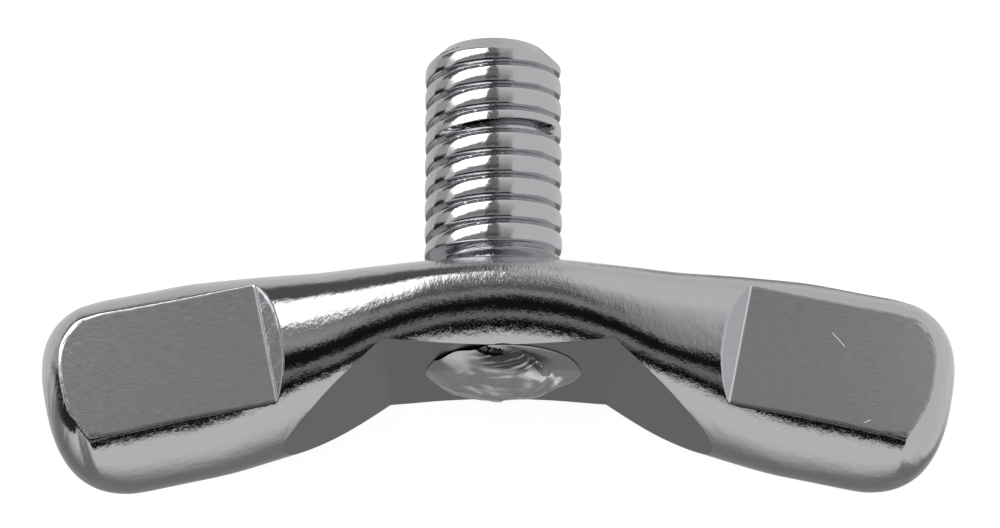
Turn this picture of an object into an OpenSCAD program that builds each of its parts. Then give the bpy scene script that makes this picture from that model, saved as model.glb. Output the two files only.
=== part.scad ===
// Winged thumb screw: a bowed, polished body with two finger flats on each wing and a
// notch under its middle, and a threaded stud that is riveted through it.
// Everything is drawn with the stud along +Y and the front face up, its zero on the roof
// of the notch. The whole screw is then laid down as it rests, on its back and the tip
// of its stud.

/* [Wings] */
// Middle of the body to the tip of a wing, along the bow
wing_reach = 19.15; // [17.5:0.05:24]
// How far the wings droop below the middle, in degrees
wing_droop = 11.6; // [8:0.1:15]
// Height of a wing, top to underside
wing_tall = 7.9; // [6.5:0.1:10]
// Depth of a wing, front to back, before its flats are cut
wing_deep = 9.7; // [8.6:0.1:12]
// Length of the rounded tip of a wing
tip_round = 4.15; // [2:0.05:6]
// Fullness of the rounded tip, 2 being a plain ellipse
tip_full = 2.8; // [2:0.1:4]
// Where a wing has its full height and depth, along the bow
neck_end = 12.9; // [10:0.1:14]

/* [Middle] */
// Radius of the bow of the body over the notch
bow_r = 28; // [20:0.5:60]
// Height of the body at its middle, before the notch is cut
mid_tall = 5.7; // [5:0.1:8]
// Depth of the body at its middle, front to back
mid_deep = 12; // [11:0.1:15]
// Half of the length over which the middle keeps its size
mid_half = 4.25; // [1:0.05:8]
// Fullness of the body's section, 2 being a plain ellipse
section_full = 2.4; // [2:0.1:4]

/* [Finger flats] */
// Thickness left between a wing's front and back flat
flat_gap = 7.9; // [6.5:0.1:8.5]
// Middle of the body to the inner edge of a flat, along the bow
flat_start = 9.8; // [8:0.05:12]
// Lean of the step at a flat's inner edge, in degrees
step_lean = 26; // [0:1:45]

/* [Notch] */
// Thickness of the body above the roof of the notch
web = 4.45; // [3.6:0.05:5]
// Width of the roof of the notch
roof_wide = 9.4; // [7:0.1:11]
// Slope of the notch's two ramps, in degrees
ramp_slope = 38.5; // [30:0.5:50]

/* [Stud] */
// Diameter over the crests of the thread
thread_d = 5.9; // [5:0.1:7]
// How far the stud stands out above the body
thread_out = 9.75; // [6:0.05:25]
// Size of the chamfer at the stud's tip
tip_chamfer = 0.72; // [0.2:0.02:1.2]
// Diameter of the plain collar where the thread runs out
collar_d = 5.4; // [4.9:0.1:6]
// How deep the collar is let into the body
seat_deep = 0.8; // [0.5:0.05:1.5]
// Diameter of the plain shank inside the body
shank_d = 4.6; // [3.5:0.1:4.8]
// Diameter of the riveted head in the notch
rivet_d = 6; // [5.4:0.1:8]
// Height of the riveted head
rivet_high = 0.75; // [0.3:0.05:1.2]
// How far the stud stands to the left of the middle
stud_off = 0.2; // [0:0.05:1]
// Clearance all round the stud where it passes through the body
stud_slack = 0.02; // [0.01:0.01:0.1]

/* [Fineness] */
// Sections along the straight part of each half of the body
runs = 22; // [12:1:30]
// Rings on each rounded tip
tip_rings = 9; // [5:1:12]
// Points round each section
around = 52; // [24:4:64]

/* [Hidden] */
thread_r = thread_d / 2;
tip_r = thread_r - tip_chamfer;
mid_rise = web - mid_tall / 2;     // centre of the body's middle above the notch roof
stud_top = web + thread_out;
seat_y = web - seat_deep;
bow_len = bow_r * wing_droop * PI / 180;
tip_start = wing_reach - tip_round;
over = 2;                          // how far each cutter reaches past what it cuts
cut_deep = max(mid_deep, wing_deep) / 2 + over;
step_run = (cut_deep - flat_gap / 2) * tan(step_lean);
ramp_drop = wing_reach * sin(wing_droop) + wing_tall + over;
ramp_run = ramp_drop / tan(ramp_slope);
$fn = 96;

// The bow: an arc of bow_r over the middle that runs on straight along each wing.
function bow_turn(l) = sign(l) * min(abs(l), bow_len) / bow_len * wing_droop;
function bow_rest(l) = max(abs(l) - bow_len, 0);
function bow_x(l) = sign(l) * (bow_r * sin(abs(bow_turn(l))) + bow_rest(l) * cos(wing_droop));
function bow_y(l) = mid_rise - bow_r * (1 - cos(bow_turn(l))) - bow_rest(l) * sin(wing_droop);

// Size of the section at l, easing from the middle's size to the wing's.
function ease(t) = let (k = max(0, min(1, t))) k * k * (3 - 2 * k);
function neck(l) = ease((abs(l) - mid_half) / (neck_end - mid_half));
function half_tall(l) = (mid_tall + (wing_tall - mid_tall) * neck(l)) / 2;
function half_deep(l) = (mid_deep + (wing_deep - mid_deep) * neck(l)) / 2;

// A full oval: the rounded outline that both the sections and the wing tips follow.
function oval(a, full) = sign(a) * pow(abs(a), 2 / full);

// One section of the body, square to the bow at l and shrunk by size.
function section(l, size) = [
    for (i = [0 : around - 1])
        let (a = 360 * i / around,
             up = half_tall(l) * size * oval(sin(a), section_full),
             out = half_deep(l) * size * oval(cos(a), section_full))
        [bow_x(l) + up * sin(bow_turn(l)), bow_y(l) + up * cos(bow_turn(l)), out]
];

// Where the sections stand, from one wing tip to the other, each with its size.
tip_steps = [for (j = [tip_rings : -1 : 1]) 90 * j / (tip_rings + 1)];
half_stations = concat(
    [for (a = tip_steps) [tip_start + tip_round * oval(sin(a), tip_full), oval(cos(a), tip_full)]],
    [for (i = [0 : runs - 1]) [tip_start * (1 - i / runs), 1]]);
stations = concat(
    [for (s = half_stations) [-s[0], s[1]]],
    [[0, 1]],
    [for (i = [len(half_stations) - 1 : -1 : 0]) half_stations[i]]);
rings = [for (s = stations) section(s[0], s[1])];
skin = [for (r = rings) each r];
ends = [[bow_x(-wing_reach), bow_y(-wing_reach), 0], [bow_x(wing_reach), bow_y(wing_reach), 0]];

function next(i) = (i + 1) % around;
skin_faces = concat(
    [for (k = [0 : len(rings) - 2]) for (i = [0 : around - 1])
        [k * around + i, k * around + next(i), (k + 1) * around + i]],
    [for (k = [0 : len(rings) - 2]) for (i = [0 : around - 1])
        [(k + 1) * around + i, k * around + next(i), (k + 1) * around + next(i)]],
    [for (i = [0 : around - 1]) [next(i), i, len(skin)]],
    [for (i = [0 : around - 1])
        [(len(rings) - 1) * around + i, (len(rings) - 1) * around + next(i), len(skin) + 1]]);

// The tilt at which the back of the middle and the tip of the stud both touch the table.
dual = section_full / (section_full - 1);
function back_reach(t) = mid_rise * sin(t)
    + pow(pow(mid_tall / 2 * sin(t), dual) + pow(mid_deep / 2 * cos(t), dual), 1 / dual);
function stud_reach(t) = max(thread_r * cos(t) + (stud_top - tip_chamfer) * sin(t),
                             tip_r * cos(t) + stud_top * sin(t));
function find_tilt(low, high, n) = let (t = (low + high) / 2)
    n == 0 ? t
    : back_reach(t) > stud_reach(t) ? find_tilt(t, high, n - 1) : find_tilt(low, t, n - 1);
rest_tilt = find_tilt(0, 60, 24);
rest_low = max([for (p = skin) p[1] * sin(rest_tilt) - p[2] * cos(rest_tilt)]);
rest_front = stud_top * cos(rest_tilt) + tip_r * sin(rest_tilt);
rest_back = min([for (p = skin) p[1] * cos(rest_tilt) + p[2] * sin(rest_tilt)]);

// Lays a piece down as the screw rests, with the table at Z = 0.
module at_rest() {
    translate([0, -(rest_front + rest_back) / 2, rest_low])
        rotate([-rest_tilt, 0, 0])
            children();
}

// Puts children on the right wing: X along it, Y square to it, Z to the front.
module on_wing() {
    translate([bow_x(bow_len), bow_y(bow_len), 0])
        rotate([0, 0, -wing_droop])
            translate([-bow_len, 0, 0])
                children();
}

// Takes away what stands in front of a flat, with the leaning step at its inner edge.
module flat_cutter() {
    far = wing_reach + over;
    on_wing()
        rotate([90, 0, 0])
            linear_extrude(wing_tall + 2 * over, center = true)
                polygon([[flat_start, flat_gap / 2], [far, flat_gap / 2],
                         [far, cut_deep], [flat_start - step_run, cut_deep]]);
}

// The notch runs right through from front to back: a level roof between two ramps.
module notch_cutter() {
    linear_extrude(2 * cut_deep, center = true)
        polygon([[-roof_wide / 2, 0], [roof_wide / 2, 0],
                 [roof_wide / 2 + ramp_run, -ramp_drop], [-roof_wide / 2 - ramp_run, -ramp_drop]]);
}

module wing_body() {
    color("silver")
        at_rest()
            difference() {
                polyhedron(points = concat(skin, ends), faces = skin_faces, convexity = 6);
                for (side = [0, 1]) for (face = [0, 1])
                    mirror([side, 0, 0]) mirror([0, 0, face]) flat_cutter();
                notch_cutter();
                translate([-stud_off, 0, 0])
                    rotate([-90, 0, 0]) {
                        translate([0, 0, -over]) cylinder(d = shank_d + 2 * stud_slack, h = web + 2 * over);
                        translate([0, 0, seat_y])
                            cylinder(d = collar_d + 2 * stud_slack, h = seat_deep + over);
                    }
            }
}

// The stud is turned as one piece. Its thread runs out just above the body, the collar
// under it sits on the shoulder in the body, and the shank comes out in the notch, where
// it is riveted over.
module threaded_stud() {
    rivet_r = rivet_d / 2;
    dome_r = (rivet_r * rivet_r + rivet_high * rivet_high) / (2 * rivet_high);
    dome_half = asin(rivet_r / dome_r);
    dome = [for (i = [0 : 12]) let (a = dome_half * i / 12)
        [dome_r * sin(a), dome_r - rivet_high - dome_r * cos(a)]];
    color("gainsboro")
        at_rest()
            translate([-stud_off, 0, 0])
                rotate([-90, 0, 0])
                    rotate_extrude()
                        polygon(concat(dome, [
                            [shank_d / 2, 0], [shank_d / 2, seat_y], [collar_d / 2, seat_y],
                            [collar_d / 2, web], [thread_r, web],
                            [thread_r, stud_top - tip_chamfer], [tip_r, stud_top], [0, stud_top]]));
}

wing_body();
threaded_stud();
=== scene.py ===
import bpy
import bmesh
from math import sin, cos, tan, atan2, exp, radians, pi, sqrt
from mathutils import Matrix, Vector, noise


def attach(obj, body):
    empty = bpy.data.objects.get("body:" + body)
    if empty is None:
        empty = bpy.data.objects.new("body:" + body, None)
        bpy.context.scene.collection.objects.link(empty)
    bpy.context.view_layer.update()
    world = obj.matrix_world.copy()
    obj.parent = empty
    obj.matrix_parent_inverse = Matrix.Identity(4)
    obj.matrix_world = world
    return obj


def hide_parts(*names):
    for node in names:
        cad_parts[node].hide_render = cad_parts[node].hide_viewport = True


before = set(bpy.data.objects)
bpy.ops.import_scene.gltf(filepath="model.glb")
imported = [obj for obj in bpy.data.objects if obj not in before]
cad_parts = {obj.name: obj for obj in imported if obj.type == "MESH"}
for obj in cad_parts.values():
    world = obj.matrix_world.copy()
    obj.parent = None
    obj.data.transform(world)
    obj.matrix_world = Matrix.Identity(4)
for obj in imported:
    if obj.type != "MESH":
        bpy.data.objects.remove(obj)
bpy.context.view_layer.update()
print("frame loaded")

mm = 0.001

# the screw is drawn upright in mm, stud along +Y and front face up, zero on the notch roof;
# then it is laid on its back and the tip of its stud
lying = {
    "tilt": 14.849204,            # degrees
    "back": -4.605709,            # mm
    "lift": 6.299666,             # mm
    "shrink": 0.9992,             # keeps the smooth skin a hair inside the faceted solid
    "shrinkTo": (0, 0, 5.935),    # mm
}


def layDown(bm):
    bmesh.ops.rotate(bm, verts=bm.verts, cent=(0, 0, 0),
                     matrix=Matrix.Rotation(-radians(lying["tilt"]), 3, "X"))
    bmesh.ops.translate(bm, verts=bm.verts, vec=(0, lying["back"], lying["lift"]))
    bmesh.ops.translate(bm, verts=bm.verts, vec=-Vector(lying["shrinkTo"]))
    bmesh.ops.scale(bm, verts=bm.verts, vec=(lying["shrink"],) * 3)
    bmesh.ops.translate(bm, verts=bm.verts, vec=lying["shrinkTo"])
    bmesh.ops.scale(bm, verts=bm.verts, vec=(mm,) * 3)


def addPiece(name, bm, materials, sharpAngle):
    mesh = bpy.data.meshes.new(name)
    bm.to_mesh(mesh)
    bm.free()
    mesh.set_sharp_from_angle(angle=radians(sharpAngle))
    for m in materials:
        mesh.materials.append(m)
    piece = bpy.data.objects.new(name, mesh)
    bpy.context.scene.collection.objects.link(piece)
    return piece


def alongAt(spot):
    # mm along a piece: the wings run along X, the stud above the body along Y
    studSide, bodyTop = 3.3, 4.6
    return spot.x if abs(spot.x) > studSide or spot.y < bodyTop else spot.y


def ballInto(around, rings, shape, paint):
    # a ball with its poles on the ends, each vertex then moved to shape(ring, step round);
    # paint(ring, step) gives a vertex's surface, and a face all on one surface takes it
    bm = bmesh.new()
    bmesh.ops.create_uvsphere(bm, u_segments=around, v_segments=rings, radius=1)
    place = {}
    for v in bm.verts:
        ring = round(atan2(sqrt(v.co.x ** 2 + v.co.y ** 2), v.co.z) / pi * rings)
        step = round(atan2(v.co.y, v.co.x) / (2 * pi) * around) % around
        place[v] = (ring, step)
    for v in bm.verts:
        v.co = shape(*place[v])
    bmesh.ops.recalc_face_normals(bm, faces=bm.faces)
    # the surface grain runs by these: mm along the piece and mm round it
    far = [[0] for ring in range(rings + 1)]
    grid = {spot: v.co for v, spot in place.items()}
    for ring in range(1, rings):
        for step in range(around):
            gap = (grid[ring, (step + 1) % around] - grid[ring, step]).length
            far[ring].append(far[ring][-1] + gap)
    lane = bm.loops.layers.uv.new("grain")
    for f in bm.faces:
        f.smooth = True
        kinds = {paint(*place[v]) for v in f.verts}
        f.material_index = kinds.pop() if len(kinds) == 1 else 0
        steps = [place[v][1] for v in f.verts if 0 < place[v][0] < rings]
        seam = 0 in steps and around - 1 in steps
        for loop in f.loops:
            ring, step = place[loop.vert]
            if 0 < ring < rings:
                step = around if seam and step == 0 else step
                loop[lane].uv = (alongAt(grid[ring, step % around]), far[ring][step])
            else:
                loop[lane].uv = (alongAt(loop.vert.co), 0)
    return bm


def spread(start, end, steps, ease=lambda t: t):
    return [start + (end - start) * ease(i / steps) for i in range(steps)]


def softMin(a, b, width):
    near = max(width - abs(a - b), 0) / width
    return min(a, b) - near * near * width / 4


def easeIn(t):
    t = min(max(t, 0), 1)
    return t * t * (3 - 2 * t)


# the body, all in mm
body = {
    "reach": 19.15,        # middle to wing tip, along the bow
    "droop": 11.6,         # degrees
    "bowRadius": 28,
    "bowRise": 1.6,        # middle line of the body above the notch roof
    # the section along the bow, as (distance from the middle, value): how far its widest
    # line stands off the bow's own line, its height above and below that line, its half
    # depth, and its fullness above and below (2 being an oval)
    "lift": ((0, 0.60), (2.5, 0.45), (5, 0.12), (7.5, -0.03), (10, 0), (20, 0)),
    "above": ((0, 2.12), (2.5, 2.26), (5, 2.74), (7.5, 3.21), (10, 3.66),
              (13, 3.95), (20, 3.95)),
    "below": ((0, 3.30), (2.5, 3.16), (5, 2.98), (7.5, 3.21), (10, 3.66),
              (13, 3.93), (20, 3.93)),
    "deep": ((0, 6.13), (2.5, 6.13), (5, 5.98), (7.5, 5.60), (10, 5.15),
             (13, 4.85), (20, 4.85)),
    "fullAbove": ((0, 2.3), (2.5, 2.3), (5, 2.35), (7.5, 2.4), (10, 2.25), (13, 2.28),
                  (15, 2.31), (16.5, 2.48), (17.12, 2.66), (20, 2.67)),
    "fullBelow": ((0, 2.0), (2.5, 2.05), (5, 2.2), (7.5, 2.4), (10, 2.2), (13, 2.2),
                  (15, 2.23), (16.5, 2.42), (17.12, 2.83), (17.36, 3.1), (17.64, 2.69),
                  (17.9, 2.4), (20, 2.4)),
    "backFull": 2.42,      # most fullness that the back has below
    "backShare": 0.959,    # depth of the middle's back against its front
    "backEase": (2.5, 6.5),                 # where the back evens out with the front
    "tipRound": 4.15, "tipFull": 2.8,       # length and fullness of the rounded tips
    "flatGap": 7.9,        # thickness between a wing's flats
    "flatLeft": 9.6, "flatRight": 9.98,     # where each wing's flats start
    "stepLean": 26,        # degrees
    "stepFoot": 0.18,      # rounding where a step meets its flat
    "roofWide": 9.4,
    "rampSlope": 38.5,     # degrees
    # how wide the polishing has rounded the edges of the flats, tips and steps, and the
    # length over which one width eases into the next
    "flatEdge": 0.03, "tipEdge": 0.08, "stepEdge": 0.2,
    "tipEdgeFrom": 16.6, "edgeRun": 0.7,
    # the sections stand closer together where the skin turns fast: where the notch's roof
    # meets its ramps, on the steps and on the tips
    "runEnds": (8.7, 10.1, 16.4, 18.25),
    "runSections": (26, 24, 58, 38, 54, 22),
    # points over half a section: on the crown, the flat, the lower arc and in the notch
    "spans": (36, 22, 22, 8),
    "bunch": 1.5,          # how much they crowd towards the flat's edges
}


def between(l, name):
    # a smooth curve through the values given in body
    table = body[name]
    l = abs(l)
    i = max(k for k in range(len(table) - 1) if table[k][0] <= l)
    rise = [(table[k + 1][1] - table[k][1]) / (table[k + 1][0] - table[k][0])
            for k in range(len(table) - 1)]
    lean = []
    for k in (i, i + 1):
        flat = k == 0 or k == len(rise) or rise[k - 1] * rise[k] <= 0
        lean.append(0 if flat else 2 / (1 / rise[k - 1] + 1 / rise[k]))
    gap = table[i + 1][0] - table[i][0]
    t = (l - table[i][0]) / gap
    return (table[i][1] * (1 + 2 * t) * (1 - t) ** 2 + table[i + 1][1] * t * t * (3 - 2 * t)
            + gap * lean[0] * t * (1 - t) ** 2 - gap * lean[1] * t * t * (1 - t))


def bowAt(l):
    # where the section's widest line stands at l, and which way the bow points there
    bend = radians(body["droop"])
    arc = body["bowRadius"] * bend
    turn = min(abs(l), arc) / arc * bend
    rest = max(abs(l) - arc, 0)
    x = body["bowRadius"] * sin(turn) + rest * cos(bend)
    y = body["bowRise"] - body["bowRadius"] * (1 - cos(turn)) - rest * sin(bend)
    return x, y + between(l, "lift"), turn


def notchAt(l):
    # height of the notch's roof or ramp over the widest line at l
    x, y, turn = bowAt(l)
    half, slope = body["roofWide"] / 2, tan(radians(body["rampSlope"]))
    roof = -y / cos(turn)
    if x + roof * sin(turn) <= half:
        return roof
    return (-y - (x - half) * slope) / (cos(turn) + slope * sin(turn))


def sectionAt(l, front):
    # the section's sizes at l, with where its flat, its notch and its edges come
    wing = abs(l)
    out = min(max((wing - body["reach"] + body["tipRound"]) / body["tipRound"], 0), 1)
    size = max(1 - out ** body["tipFull"], 0) ** (1 / body["tipFull"])
    above, below, deep = (between(l, name) * size for name in ("above", "below", "deep"))
    fullAbove = between(l, "fullAbove")
    fullBelow = between(l, "fullBelow")
    if not front:
        inner, outer = body["backEase"]
        fullBelow = min(fullBelow, body["backFull"])
        deep *= 1 - (1 - body["backShare"]) * (1 - easeIn((wing - inner) / (outer - inner)))
    start = body["flatLeft"] if l < 0 else body["flatRight"]
    onWing = wing >= start
    rise = (start - wing) / tan(radians(body["stepLean"]))
    near = max(body["stepFoot"] - abs(rise), 0) / body["stepFoot"]
    gap = body["flatGap"] / 2 + max(rise, 0) + near * near * body["stepFoot"] / 4
    if onWing:
        wider, run = body["tipEdge"], wing - body["tipEdgeFrom"]
    else:
        wider, run = body["stepEdge"], rise
    edge = body["flatEdge"] + (wider - body["flatEdge"]) * easeIn(run / body["edgeRun"])
    # the angles of the flat's two edges and of the notch, seen from the section's middle
    high = low = least = 0.03
    if gap < deep:
        high = max(atan2(above * (1 - (gap / deep) ** fullAbove) ** (1 / fullAbove), gap), least)
        low = max(atan2(below * (1 - (gap / deep) ** fullBelow) ** (1 / fullBelow), gap), least)
    ceiling = notchAt(l)
    if -ceiling < below:
        wide = deep * (1 - abs(ceiling / below) ** fullBelow) ** (1 / fullBelow)
        notch = atan2(ceiling, min(wide, gap))
    else:
        notch = -pi / 2 + 0.02 + 0.2 * min((-ceiling / below - 1) * 3, 1)
    return (above, below, deep, fullAbove, fullBelow, gap, edge,
            high, low, ceiling, notch, onWing)


def bodyStations():
    corner = 4.7           # drawn in to where the notch's roof meets its ramp
    for i in range(40):
        x, y, turn = bowAt(corner)
        corner += (body["roofWide"] / 2 - x + y * tan(turn)) * 0.8
    ends = (0, corner) + body["runEnds"]
    half = []
    for start, end, sectionCount in zip(ends, ends[1:], body["runSections"]):
        half += spread(start, end, sectionCount)
    half += spread(ends[-1], body["reach"], body["runSections"][-1],
                   lambda t: 1 - (1 - t) ** 2)
    return [-l for l in half[:0:-1]] + half


stations = bodyStations()
halfRound = sum(body["spans"])
sections = {(l, front): sectionAt(l, front) for l in stations for front in (True, False)}


def skinPoint(l, step):
    # where the skin is, from the section's middle, and what surface it has there:
    # 0 polished, 1 on a flat, 2 in the notch
    front = step <= halfRound
    u = step if front else 2 * halfRound - step
    (above, below, deep, fullAbove, fullBelow, gap, edge,
     high, low, ceiling, notch, onWing) = sections[l, front]
    crown, face, under, roof = body["spans"]
    if u <= crown:
        angle = high + (pi / 2 - high) * (1 - u / crown) ** body["bunch"]
    elif u <= crown + face:
        angle = high - (high + low) * (1 - cos(pi * (u - crown) / face)) / 2
    elif u <= crown + face + under:
        angle = -low + (notch + low) * ((u - crown - face) / under) ** body["bunch"]
    else:
        angle = notch + (-pi / 2 - notch) * (u - crown - face - under) / roof
    tall, full = (above, fullAbove) if angle > 0 else (below, fullBelow)
    c, s = abs(cos(angle)), abs(sin(angle))
    far = ((c / deep) ** full + (s / tall) ** full) ** (-1 / full)
    kind = 0
    if c > 0.01:
        if onWing and gap / c + edge * 0.7 < far:
            kind = 1
        far = softMin(far, gap / c, edge)
    if angle < 0 and -ceiling / s <= far * 1.0001:
        far = -ceiling / s
        kind = 2
    q = far * cos(angle)
    return q if front else -q, far * sin(angle), kind


def bodyShape(ring, step):
    if ring == 0 or ring == len(stations) + 1:
        x, y, turn = bowAt(body["reach"])
        return Vector((x if ring == 0 else -x, y, 0))
    l = stations[len(stations) - ring]
    q, n, kind = skinPoint(l, step)
    x, y, turn = bowAt(l)
    side = 1 if l >= 0 else -1
    return Vector((side * (x + n * sin(turn)), y + n * cos(turn), q))


def bodyPaint(ring, step):
    if ring == 0 or ring == len(stations) + 1:
        return 0
    return skinPoint(stations[len(stations) - ring], step)[2]


# the stud, all in mm
stud = {
    "aside": -0.2,         # its place left of the middle
    "crest": 2.93,
    "pitch": 1.0,
    "rootAt": 11.854,      # height of a root line on the front
    "depth": 0.22,
    "flank": 0.12,         # half the width of a groove
    "lip": 0.036, "lipRun": 0.05,                            # rounding of a crest's edges
    "belly": 0.07,         # how much a crest falls off towards its edges
    "top": 14.2, "chamfer": 0.72,
    "web": 4.45, "seat": 3.65, "collar": 2.2, "shank": 2.3,
    "sunk": 0.29,          # how far below the top of the body the threaded part starts
    "neck": 0.72,          # length over which the thread runs out at the body
    "slitAt": 10.15, "slitDeep": 0.62, "slitWide": 0.23,     # a gouge along one crest
    "slitFrom": -52, "slitTo": 66,                           # degrees round from the front
    "head": 3.25, "headHigh": 1.0,
    "headFront": 1.42,     # how much further the head is spread to the front
    "headAside": 0.42,     # its middle, right of the stud's
    "around": 144, "headRings": 56, "threadRings": 560, "chamferRings": 24, "tipRings": 12,
}


def studRows():
    # (height, radius before the thread is cut) from the riveted head to the tip
    s = stud
    low, shoulder, end = s["web"] - s["sunk"], s["top"] - s["chamfer"], s["crest"] - s["chamfer"]
    rows = [(-s["headHigh"], s["head"] * i / s["headRings"])
            for i in range(1, s["headRings"] + 1)]
    rows += [(0, s["shank"]), (s["seat"], s["shank"]), (s["seat"], s["collar"]),
             (low - 0.01, s["collar"])]
    rows += [(y, s["crest"]) for y in spread(low, shoulder, s["threadRings"])]
    for i in range(s["chamferRings"] + 1):
        t = i / s["chamferRings"]
        rows.append((s["top"] - s["chamfer"] * (1 - t), s["crest"] - s["chamfer"] * t))
    for i in range(1, s["tipRings"]):
        rows.append((s["top"], end * (1 - i / s["tipRings"])))
    return rows


studRings = studRows()


def headHeight(x, q):
    # the hammered head: a lump with a steep side on its front right and a low skirt round
    # it; swing is the angle round from the front, to the right
    s = stud
    r, swing = sqrt(x * x + q * q), atan2(x, q)
    rim = s["head"] + 0.05 - 1.25 * easeIn((swing + 0.45) / 1.5)     # drawn in on the front
    rim += 0.85 * easeIn((swing - 1.2) / 0.9)                        # and out on the right
    rim -= 0.25 * easeIn((swing - 2.1) / 0.8) + 0.12 * easeIn((-0.8 - swing) / 0.8)
    rim += 0.16 * noise.noise(Vector((x * 0.9, q * 0.9, 3.1)))
    steep = easeIn((swing + 0.6) / 0.5) * easeIn((1.6 - swing) / 0.5)
    lump = s["headHigh"] * max(1 - (r / rim) ** (2.3 + 1.9 * steep), 0) ** (0.72 - 0.1 * steep)
    skirt = (0.22 - 0.12 * steep) * max(1 - (r / s["head"]) ** 5, 0) ** 0.6
    level = max(lump, skirt) + 0.12 * max(0.25 - abs(lump - skirt), 0)
    fold = exp(-((x - 2.35 + 0.15 * q) / 0.12) ** 2) * easeIn((1.4 - abs(q + 0.2)) / 0.7)
    hollow = exp(-((x + 0.7) / 1.2) ** 2 - ((q - 1.2) / 0.8) ** 2)
    calm = 1 - min(r / s["head"], 1) ** 4                            # no dents at the rim
    level += calm * (0.11 * noise.noise(Vector((x * 0.8, q * 0.8, 1.7)))
                     + 0.03 * noise.noise(Vector((x * 2.3, q * 2.3, 5.2)))
                     + 0.05 * noise.noise(Vector((swing * 1.2, r * 4, 8.4))) * easeIn(r - 1.3)
                     - 0.14 * fold - 0.10 * hollow)
    return max(level, 0)


def threadRadius(y, turn, r):
    # the radius once the thread, its run-out at the body and the gouge are cut
    s = stud
    along = (y - s["rootAt"] - turn / (2 * pi) * s["pitch"]) % s["pitch"]
    off = min(along, s["pitch"] - along)                             # from a groove's middle
    belly = (1 - off / s["pitch"] * 2) ** 2 * s["belly"]
    belly += s["lip"] * exp(-max(off - s["flank"], 0) / s["lipRun"])
    cut = max(s["flank"] - off, 0) / s["flank"] * s["depth"]
    cut = softMin(cut, s["depth"] * 0.93, 0.05)
    r = min(r, s["crest"] - belly - max(cut, 0))
    if y < s["web"] + s["neck"]:
        r = s["collar"] + (r - s["collar"]) * easeIn((y - s["web"] + 0.1) / s["neck"])
    angle = (turn / pi * 180 + 180) % 360 - 180
    line = s["slitAt"] + angle / 360 * s["pitch"] - y
    wide = s["slitWide"] * (0.45 + 0.55 * easeIn((angle + 30) / 60))
    reach = easeIn((angle - s["slitFrom"]) / 40) * easeIn((s["slitTo"] - angle) / 6)
    return r - s["slitDeep"] * reach * easeIn(1.5 - abs(line) / wide * 1.5)


def studShape(ring, step):
    s = stud
    if ring == 0:
        return Vector((s["aside"] + s["headAside"], -headHeight(0, 0), 0))
    if ring == len(studRings) + 1:
        return Vector((s["aside"], s["top"], 0))
    y, r = studRings[ring - 1]
    turn = 2 * pi * step / s["around"]
    if ring <= s["headRings"]:
        x, q = r * sin(turn), r * cos(turn)
        spreadOut = 1 + (s["headFront"] - 1) * easeIn(q / 2.5 + 0.2)
        return Vector((s["aside"] + s["headAside"] + x, -headHeight(x, q), q * spreadOut))
    if y > s["web"] - s["sunk"] - 0.005 and r > s["crest"] - s["chamfer"] - 0.001:
        r = threadRadius(y, turn, r)
    return Vector((s["aside"] + r * sin(turn), y, r * cos(turn)))


bodyMesh = ballInto(2 * halfRound, len(stations) + 1, bodyShape, bodyPaint)
layDown(bodyMesh)
polished = bpy.data.materials.new("polishedChrome")
satinFlat = bpy.data.materials.new("satinFlat")
satinNotch = bpy.data.materials.new("satinNotch")
wingBody = addPiece("wingBody", bodyMesh, [polished, satinFlat, satinNotch], 30)
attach(wingBody, "root")
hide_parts("wing_body")
print("body made", len(wingBody.data.vertices))

studMesh = ballInto(stud["around"], len(studRings) + 1, studShape, lambda ring, step: 0)
layDown(studMesh)
studChrome = bpy.data.materials.new("studChrome")
threadedStud = addPiece("threadedStud", studMesh, [studChrome], 40)
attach(threadedStud, "root")
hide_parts("threaded_stud")
print("stud made", len(threadedStud.data.vertices))

# the floor's tone comes partly from its cloth, which takes the shadow, and partly from glow
ground = {"radius": 1.5, "cloth": 0.3, "glow": 0.86}      # radius in metres
floorMesh = bmesh.new()
bmesh.ops.create_circle(floorMesh, cap_ends=True, segments=64, radius=ground["radius"])
floorMaterial = bpy.data.materials.new("paleFloor")
floor = addPiece("floor", floorMesh, [floorMaterial], 30)

view = {
    "place": (0.000076, -0.0044214, 0.1423461),           # metres
    "turn": (1.8532, 0, -0.106),                          # degrees
    "sensor": 36, "lens": 116.536,
    "nearest": 0.01,
}
camera = bpy.data.objects.new("camera", bpy.data.cameras.new("camera"))
bpy.context.scene.collection.objects.link(camera)
camera.location = view["place"]
camera.rotation_euler = [radians(angle) for angle in view["turn"]]
camera.data.sensor_width = view["sensor"]
camera.data.lens = view["lens"]
camera.data.clip_start = view["nearest"]
bpy.context.scene.camera = camera
bpy.context.scene.view_settings.view_transform = "Standard"

# a wide soft lamp overhead, for the floor and for anything matt
overhead = {"place": (-0.15, 0.1, 0.8), "size": 0.8, "energy": 3.2}
lamp = bpy.data.objects.new("overheadLamp", bpy.data.lights.new("overheadLamp", "AREA"))
bpy.context.scene.collection.objects.link(lamp)
lamp.location = overhead["place"]
lamp.data.size = overhead["size"]
lamp.data.energy = overhead["energy"]
lamp.visible_glossy = False
print("floor, camera and lamp placed")


def addNode(tree, kind, settings=None, inputs=None):
    node = tree.nodes.new(kind)
    for name, value in (settings or {}).items():
        setattr(node, name, value)
    for name, value in (inputs or {}).items():
        if isinstance(value, bpy.types.NodeSocket):
            tree.links.new(value, node.inputs[name])
        else:
            node.inputs[name].default_value = value
    return node


def calc(tree, operation, first, second=0.0, third=0.0):
    return addNode(tree, "ShaderNodeMath", {"operation": operation},
                   {0: first, 1: second, 2: third}).outputs[0]


def product(tree, first, *others):
    for other in others:
        first = calc(tree, "MULTIPLY", first, other)
    return first


def fade(tree, value, start, end, low=0.0, high=1.0):
    return addNode(tree, "ShaderNodeMapRange", {"interpolation_type": "SMOOTHSTEP"},
                   {"Value": value, "From Min": start, "From Max": end,
                    "To Min": low, "To Max": high}).outputs[0]


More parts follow.
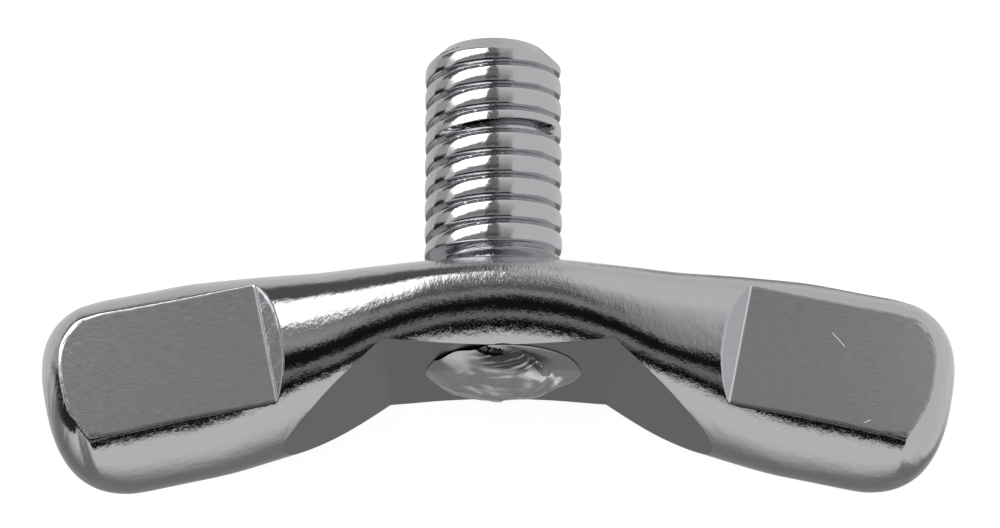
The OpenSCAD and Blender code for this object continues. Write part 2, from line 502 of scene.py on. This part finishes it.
def ramp(tree, value, stops):
    node = addNode(tree, "ShaderNodeValToRGB", None, {0: value})
    band = node.color_ramp.elements
    while len(band) < len(stops):
        band.new(0.5)
    for element, (position, level) in zip(band, sorted(stops)):
        element.position = position
    for element, (position, level) in zip(band, sorted(stops)):
        element.color = (level, level, level, 1)
    return node.outputs[0]


def mix(tree, share, first, second):
    return addNode(tree, "ShaderNodeMix", {"data_type": "FLOAT"},
                   {0: share, 2: first, 3: second}).outputs[0]


def mixColour(tree, share, first, second):
    return addNode(tree, "ShaderNodeMix", {"data_type": "RGBA"},
                   {0: share, 6: first, 7: second}).outputs[2]


def placeOn(tree):
    # the place on the object, whole and as x, y and z, in metres
    at = addNode(tree, "ShaderNodeTexCoord").outputs["Object"]
    x, y, z = addNode(tree, "ShaderNodeSeparateXYZ", None, {0: at}).outputs
    return at, x, y, z


# brightness of the studio all round the screw, from straight below (-180) over the near
# side (-90), the camera (0) and the far side (90) to below again (180), in degrees
studio = {
    "left": ((-180, 0.7), (-170, 0.3), (-152, 0.2), (-138, 0.24), (-124, 0.55), (-110, 0.78),
             (-73, 0.8), (-70, 0.01), (-54, 0.01), (-50, 0.22), (-38, 0.25), (-34, 0.01),
             (-8, 0.01), (-3, 0.3), (8, 0.43), (24, 0.3), (30, 0.3), (33, 2.6), (74, 2.6),
             (79, 0.12), (120, 0.12), (127, 0.66), (180, 0.7)),
    "middle": ((-180, 0.7), (-170, 0.3), (-152, 0.2), (-138, 0.24), (-124, 0.55), (-110, 0.78),
               (-68, 0.8), (-66, 0.0), (-50, 0.0), (-47, 0.22), (-38, 0.25), (-36, 0.01),
               (-3, 0.01), (2, 0.3), (11, 0.34), (17, 0.10), (25, 0.12), (28.5, 0.23),
               (33, 0.185), (38, 0.25), (43, 0.17), (50, 0.26), (80, 0.18), (97, 0.14),
               (112, 0.25), (126, 0.66), (180, 0.7)),
    "right": ((-180, 0.7), (-170, 0.3), (-152, 0.2), (-138, 0.24), (-124, 0.55), (-110, 0.78),
              (-73, 0.8), (-70, 0.01), (-55, 0.01), (-51, 0.22), (-38, 0.2), (-34, 0.01),
              (-12, 0.01), (-6, 0.3), (12, 0.37), (24, 0.4), (34, 0.52), (48, 0.66),
              (62, 0.78), (110, 0.76), (130, 0.68), (180, 0.7)),
    "brightest": 3,                   # more than any level above
    "leftFrom": (-0.18, -0.25),       # how far aside the left and the right fade in
    "rightFrom": (0.08, 0.2),
    "ends": 0.75,                     # brightness straight to the left and to the right
    "leftEnd": (-0.86, -0.95), "rightEnd": (0.45, 0.6),
    "strip": 0.08, "stripShare": 0.7,
    "edge": 0.03,
}


def lightStudio():
    world = bpy.data.worlds.new("studio")
    bpy.context.scene.world = world
    world.use_nodes = True
    tree = world.node_tree
    way = addNode(tree, "ShaderNodeTexCoord").outputs["Generated"]
    x, y, z = addNode(tree, "ShaderNodeSeparateXYZ", None, {0: way}).outputs
    over = calc(tree, "ARCTAN2", y, z)
    place = calc(tree, "MULTIPLY_ADD", over, 1 / (2 * pi), 0.5)
    levels = {}
    for name in ("left", "middle", "right"):
        stops = [((a + 180) / 360, level / studio["brightest"]) for a, level in studio[name]]
        levels[name] = product(tree, ramp(tree, place, stops), studio["brightest"])
    aside = calc(tree, "DIVIDE", x, calc(tree, "ADD", calc(tree, "ABSOLUTE", z), 0.03))
    level = mix(tree, fade(tree, aside, *studio["leftFrom"]), levels["middle"], levels["left"])
    # the right begins nearer the middle low down
    nearer = calc(tree, "ADD", aside, fade(tree, y, 0.45, 0.0, -0.04, 0.07))
    level = mix(tree, fade(tree, nearer, *studio["rightFrom"]), level, levels["right"])
    level = mix(tree, fade(tree, x, *studio["leftEnd"]), level, studio["ends"])
    level = mix(tree, fade(tree, x, *studio["rightEnd"]), level, studio["ends"])
    # a soft dark strip between the middle and the right
    strip = product(tree, fade(tree, aside, 0.05, 0.10), fade(tree, aside, 0.22, 0.14),
                    fade(tree, y, 0.0, 0.12), fade(tree, y, 0.47, 0.40), studio["stripShare"])
    level = mix(tree, strip, level, studio["strip"])
    # a dark edge of the room on the left, level with the screw and bent upwards low down
    bent = calc(tree, "MAXIMUM", calc(tree, "MULTIPLY_ADD", y, -0.84, -0.32), -0.16)
    off = calc(tree, "ABSOLUTE", calc(tree, "SUBTRACT", z, bent))
    narrow = calc(tree, "MAXIMUM", calc(tree, "MULTIPLY_ADD", y, -2.2, 0.1), 1.0)
    off = product(tree, off, narrow)
    dark = product(tree, fade(tree, off, 0.30, 0.22), fade(tree, x, -0.35, -0.5),
                   fade(tree, y, 0.18, 0.06, 0.35, 1.0), fade(tree, y, 0.42, 0.3))
    level = mix(tree, dark, level, studio["edge"])
    light = tree.nodes["Background"]
    tree.links.new(level, light.inputs["Strength"])
    light.inputs["Color"].default_value = (1, 1, 1, 1)


def metal(material, colour, roughness, bump, depth):
    # colour and roughness may be sockets; bump is one, its depth in mm
    tree = material.node_tree
    shader = tree.nodes["Principled BSDF"]
    shader.inputs["Metallic"].default_value = 1
    for name, value in (("Base Color", colour), ("Roughness", roughness)):
        if isinstance(value, bpy.types.NodeSocket):
            tree.links.new(value, shader.inputs[name])
        else:
            shader.inputs[name].default_value = value
    relief = addNode(tree, "ShaderNodeBump", None,
                     {"Strength": 1.0, "Distance": depth * mm, "Height": bump})
    tree.links.new(relief.outputs[0], shader.inputs["Normal"])


def grainNoise(tree, cells, detail=2.0, rough=0.5):
    # noise that follows the piece, cells giving its cells a mm along it and round it
    lane = addNode(tree, "ShaderNodeUVMap", {"uv_map": "grain"}).outputs[0]
    laid = addNode(tree, "ShaderNodeVectorMath", {"operation": "MULTIPLY"},
                   {0: lane, 1: (cells[0], cells[1], 0)}).outputs[0]
    return addNode(tree, "ShaderNodeTexNoise", {"noise_dimensions": "2D"},
                   {"Vector": laid, "Scale": 1.0, "Detail": detail, "Roughness": rough}).outputs[0]


# the polished skin of the body: depths in mm, cells a mm along it and round it
chrome = {
    "colour": (0.545, 0.55, 0.565, 1),
    "roughness": 0.05,
    "hairs": 0.014, "hairCells": (4.2, 2.6),       # fine marks across the bar
    "specks": 0.0032, "speckCells": (11, 11),      # pits all over
    "ripple": 0.02, "rippleCells": (0.8, 1.1),     # the slow waves of hand polishing
}
# the flats and the notch, ground and plated without polish
satin = {
    "flatColour": (0.86, 0.865, 0.88, 1),
    "flatDark": (0.76, 0.765, 0.78, 1),            # in the lines of the grain
    "flatRoughness": 0.10,
    "grain": 0.0008,                               # mm
    "grainCells": (2200.0, 21000.0),               # a metre along and across a wing
    "fleckCells": 1500.0,                          # a metre
    # the middle, direction, half length and width of each, in mm as the screw lies
    "scratches": ((13.91, -3.25, 0.66, -0.75, 0.43, 0.022),
                  (14.96, -6.58, 0.92, 0.39, 0.17, 0.02)),
    "markColour": (1, 1, 1, 1),
    "markRoughness": 0.75,
    "notchColour": (0.34, 0.343, 0.352, 1),
    "notchRoughness": 0.28,
    "notchCells": (9, 9),                          # a mm
}
# the stud
plating = {
    "colour": (0.545, 0.55, 0.565, 1),
    "headPaintedLight": (0.74, 0.745, 0.76, 1),          # painted light: the hammered head is made brighter than the rest of the stud
    "headBelow": (-0.0044, -0.0046),               # metres, between body and head
    "foldPaintedShade": (0.06, 0.06, 0.065, 1),          # painted shade in the lap of the hammered head
    "roughness": 0.1,
    "marks": 0.012,                                # mm
    "markCells": 2600.0,                           # a metre
}


def flatGrain(tree):
    # fine brushing along each wing, told from the other by its place
    at, x, y, z = placeOn(tree)
    bend = radians(body["droop"])
    wing = calc(tree, "ABSOLUTE", x)
    along = calc(tree, "SUBTRACT", product(tree, wing, cos(bend)), product(tree, y, sin(bend)))
    across = calc(tree, "ADD", product(tree, wing, sin(bend)), product(tree, y, cos(bend)))
    lane = addNode(tree, "ShaderNodeCombineXYZ", None,
                   {0: product(tree, along, satin["grainCells"][0]),
                    1: product(tree, across, satin["grainCells"][1]),
                    2: calc(tree, "SIGN", x)}).outputs[0]
    return addNode(tree, "ShaderNodeTexNoise", None,
                   {"Vector": lane, "Scale": 1.0, "Detail": 3.0, "Roughness": 0.6}).outputs[0]


def flatMarks(tree):
    # where the flats are flecked, or scratched on the front, 0 to 1
    at, x, y, z = placeOn(tree)
    flecks = addNode(tree, "ShaderNodeTexVoronoi", None,
                     {"Vector": at, "Scale": satin["fleckCells"]})
    chance = addNode(tree, "ShaderNodeSeparateColor", None, {0: flecks.outputs["Color"]})
    size = fade(tree, chance.outputs[0], 0.6, 1.0, 0.0, 0.085)
    marks = calc(tree, "GREATER_THAN", size, flecks.outputs["Distance"])
    upperSide = calc(tree, "GREATER_THAN", z, 0.006)
    for midX, midY, toX, toY, long, wide in satin["scratches"]:
        offX = calc(tree, "MULTIPLY_ADD", x, 1 / mm, -midX)
        offY = calc(tree, "MULTIPLY_ADD", y, 1 / mm, -midY)
        along = calc(tree, "ADD", product(tree, offX, toX), product(tree, offY, toY))
        across = calc(tree, "SUBTRACT", product(tree, offY, toX), product(tree, offX, toY))
        line = product(tree, fade(tree, calc(tree, "ABSOLUTE", across), wide, wide * 0.4),
                       fade(tree, calc(tree, "ABSOLUTE", along), long, long * 0.7), upperSide)
        marks = calc(tree, "MAXIMUM", marks, line)
    return marks


def paintedFoldShade(tree, x, y, z):
    # painted shade in the lap that hammering left on the front right of the stud's head, 0 to 1;
    # the place is turned back to how the screw was drawn, in mm
    lean = radians(lying["tilt"])
    y = calc(tree, "MULTIPLY_ADD", y, 1 / mm, -lying["back"])
    z = calc(tree, "MULTIPLY_ADD", z, 1 / mm, -lying["lift"])
    front = calc(tree, "ADD", product(tree, y, sin(lean)), product(tree, z, cos(lean)))
    rise = calc(tree, "SUBTRACT", product(tree, y, cos(lean)), product(tree, z, sin(lean)))
    aside = calc(tree, "MULTIPLY_ADD", x, 1 / mm, -(stud["aside"] + stud["headAside"]))
    front = calc(tree, "DIVIDE", front, stud["headFront"])
    swing = calc(tree, "ARCTAN2", aside, front)
    out = calc(tree, "SQRT", calc(tree, "ADD", product(tree, aside, aside),
                                  product(tree, front, front)))
    line = calc(tree, "MULTIPLY_ADD", swing, -0.55, 2.72)
    near = calc(tree, "ABSOLUTE", calc(tree, "SUBTRACT", out, line))
    lane = addNode(tree, "ShaderNodeCombineXYZ", None,
                   {0: product(tree, out, 9.0), 1: product(tree, swing, 1.3)}).outputs[0]
    streaks = addNode(tree, "ShaderNodeTexNoise", None,
                      {"Vector": lane, "Scale": 1.0, "Detail": 3.0}).outputs[0]
    return product(tree, fade(tree, near, 0.5, 0.2), fade(tree, swing, -0.62, -0.2),
                   fade(tree, swing, 1.15, 0.65), fade(tree, streaks, 0.30, 0.46),
                   calc(tree, "LESS_THAN", rise, 0.0))


def finishPolished():
    tree = polished.node_tree
    hairs = grainNoise(tree, chrome["hairCells"], 4.0, 0.68)
    ripple = grainNoise(tree, chrome["rippleCells"], 1.0)
    relief = calc(tree, "MULTIPLY_ADD", ripple, chrome["ripple"] / chrome["hairs"], hairs)
    pits = grainNoise(tree, chrome["speckCells"], 2.0, 0.6)
    relief = calc(tree, "MULTIPLY_ADD", pits, chrome["specks"] / chrome["hairs"], relief)
    metal(polished, chrome["colour"], chrome["roughness"], relief, chrome["hairs"])


def finishFlats():
    tree = satinFlat.node_tree
    grain = flatGrain(tree)
    marks = flatMarks(tree)
    rough = fade(tree, grain, 0.3, 0.7, satin["flatRoughness"] - 0.02,
                 satin["flatRoughness"] + 0.03)
    rough = mix(tree, marks, rough, satin["markRoughness"])
    tone = mixColour(tree, fade(tree, grain, 0.3, 0.7), satin["flatDark"], satin["flatColour"])
    colour = mixColour(tree, marks, tone, satin["markColour"])
    metal(satinFlat, colour, rough, grain, satin["grain"])


def finishNotch():
    grain = grainNoise(satinNotch.node_tree, satin["notchCells"], 3.0, 0.65)
    metal(satinNotch, satin["notchColour"], satin["notchRoughness"], grain, satin["grain"])


def finishStud():
    tree = studChrome.node_tree
    at, x, y, z = placeOn(tree)
    marks = addNode(tree, "ShaderNodeTexNoise", None,
                    {"Vector": at, "Scale": plating["markCells"], "Detail": 3.0}).outputs[0]
    # painted light: the head is coloured brighter than the rest of the stud
    head = fade(tree, y, *plating["headBelow"])
    paintedHeadTone = mixColour(tree, head, plating["colour"], plating["headPaintedLight"])
    # painted shade darkens the lap of the hammered head
    colour = mixColour(tree, paintedFoldShade(tree, x, y, z), paintedHeadTone, plating["foldPaintedShade"])
    metal(studChrome, colour, plating["roughness"], marks, plating["marks"])


def coverFloor():
    # polished metal sees the studio through the floor, and anything else sees the floor
    tree = floorMaterial.node_tree
    tree.nodes.clear()
    path = addNode(tree, "ShaderNodeLightPath")
    cloth = addNode(tree, "ShaderNodeBsdfDiffuse", None,
                    {"Color": (ground["cloth"], ground["cloth"], ground["cloth"], 1)})
    glow = addNode(tree, "ShaderNodeEmission", None,
                   {"Color": (1, 1, 1, 1), "Strength": ground["glow"]})
    pale = addNode(tree, "ShaderNodeAddShader", None, {0: cloth.outputs[0], 1: glow.outputs[0]})
    clear = addNode(tree, "ShaderNodeBsdfTransparent")
    seen = addNode(tree, "ShaderNodeMixShader", None,
                   {0: path.outputs["Is Glossy Ray"], 1: pale.outputs[0], 2: clear.outputs[0]})
    addNode(tree, "ShaderNodeOutputMaterial", None, {"Surface": seen.outputs[0]})


for material in (polished, satinFlat, satinNotch, studChrome, floorMaterial):
    material.use_nodes = True
lightStudio()
coverFloor()
finishPolished()
finishFlats()
finishNotch()
finishStud()
print("surfaces and studio made")
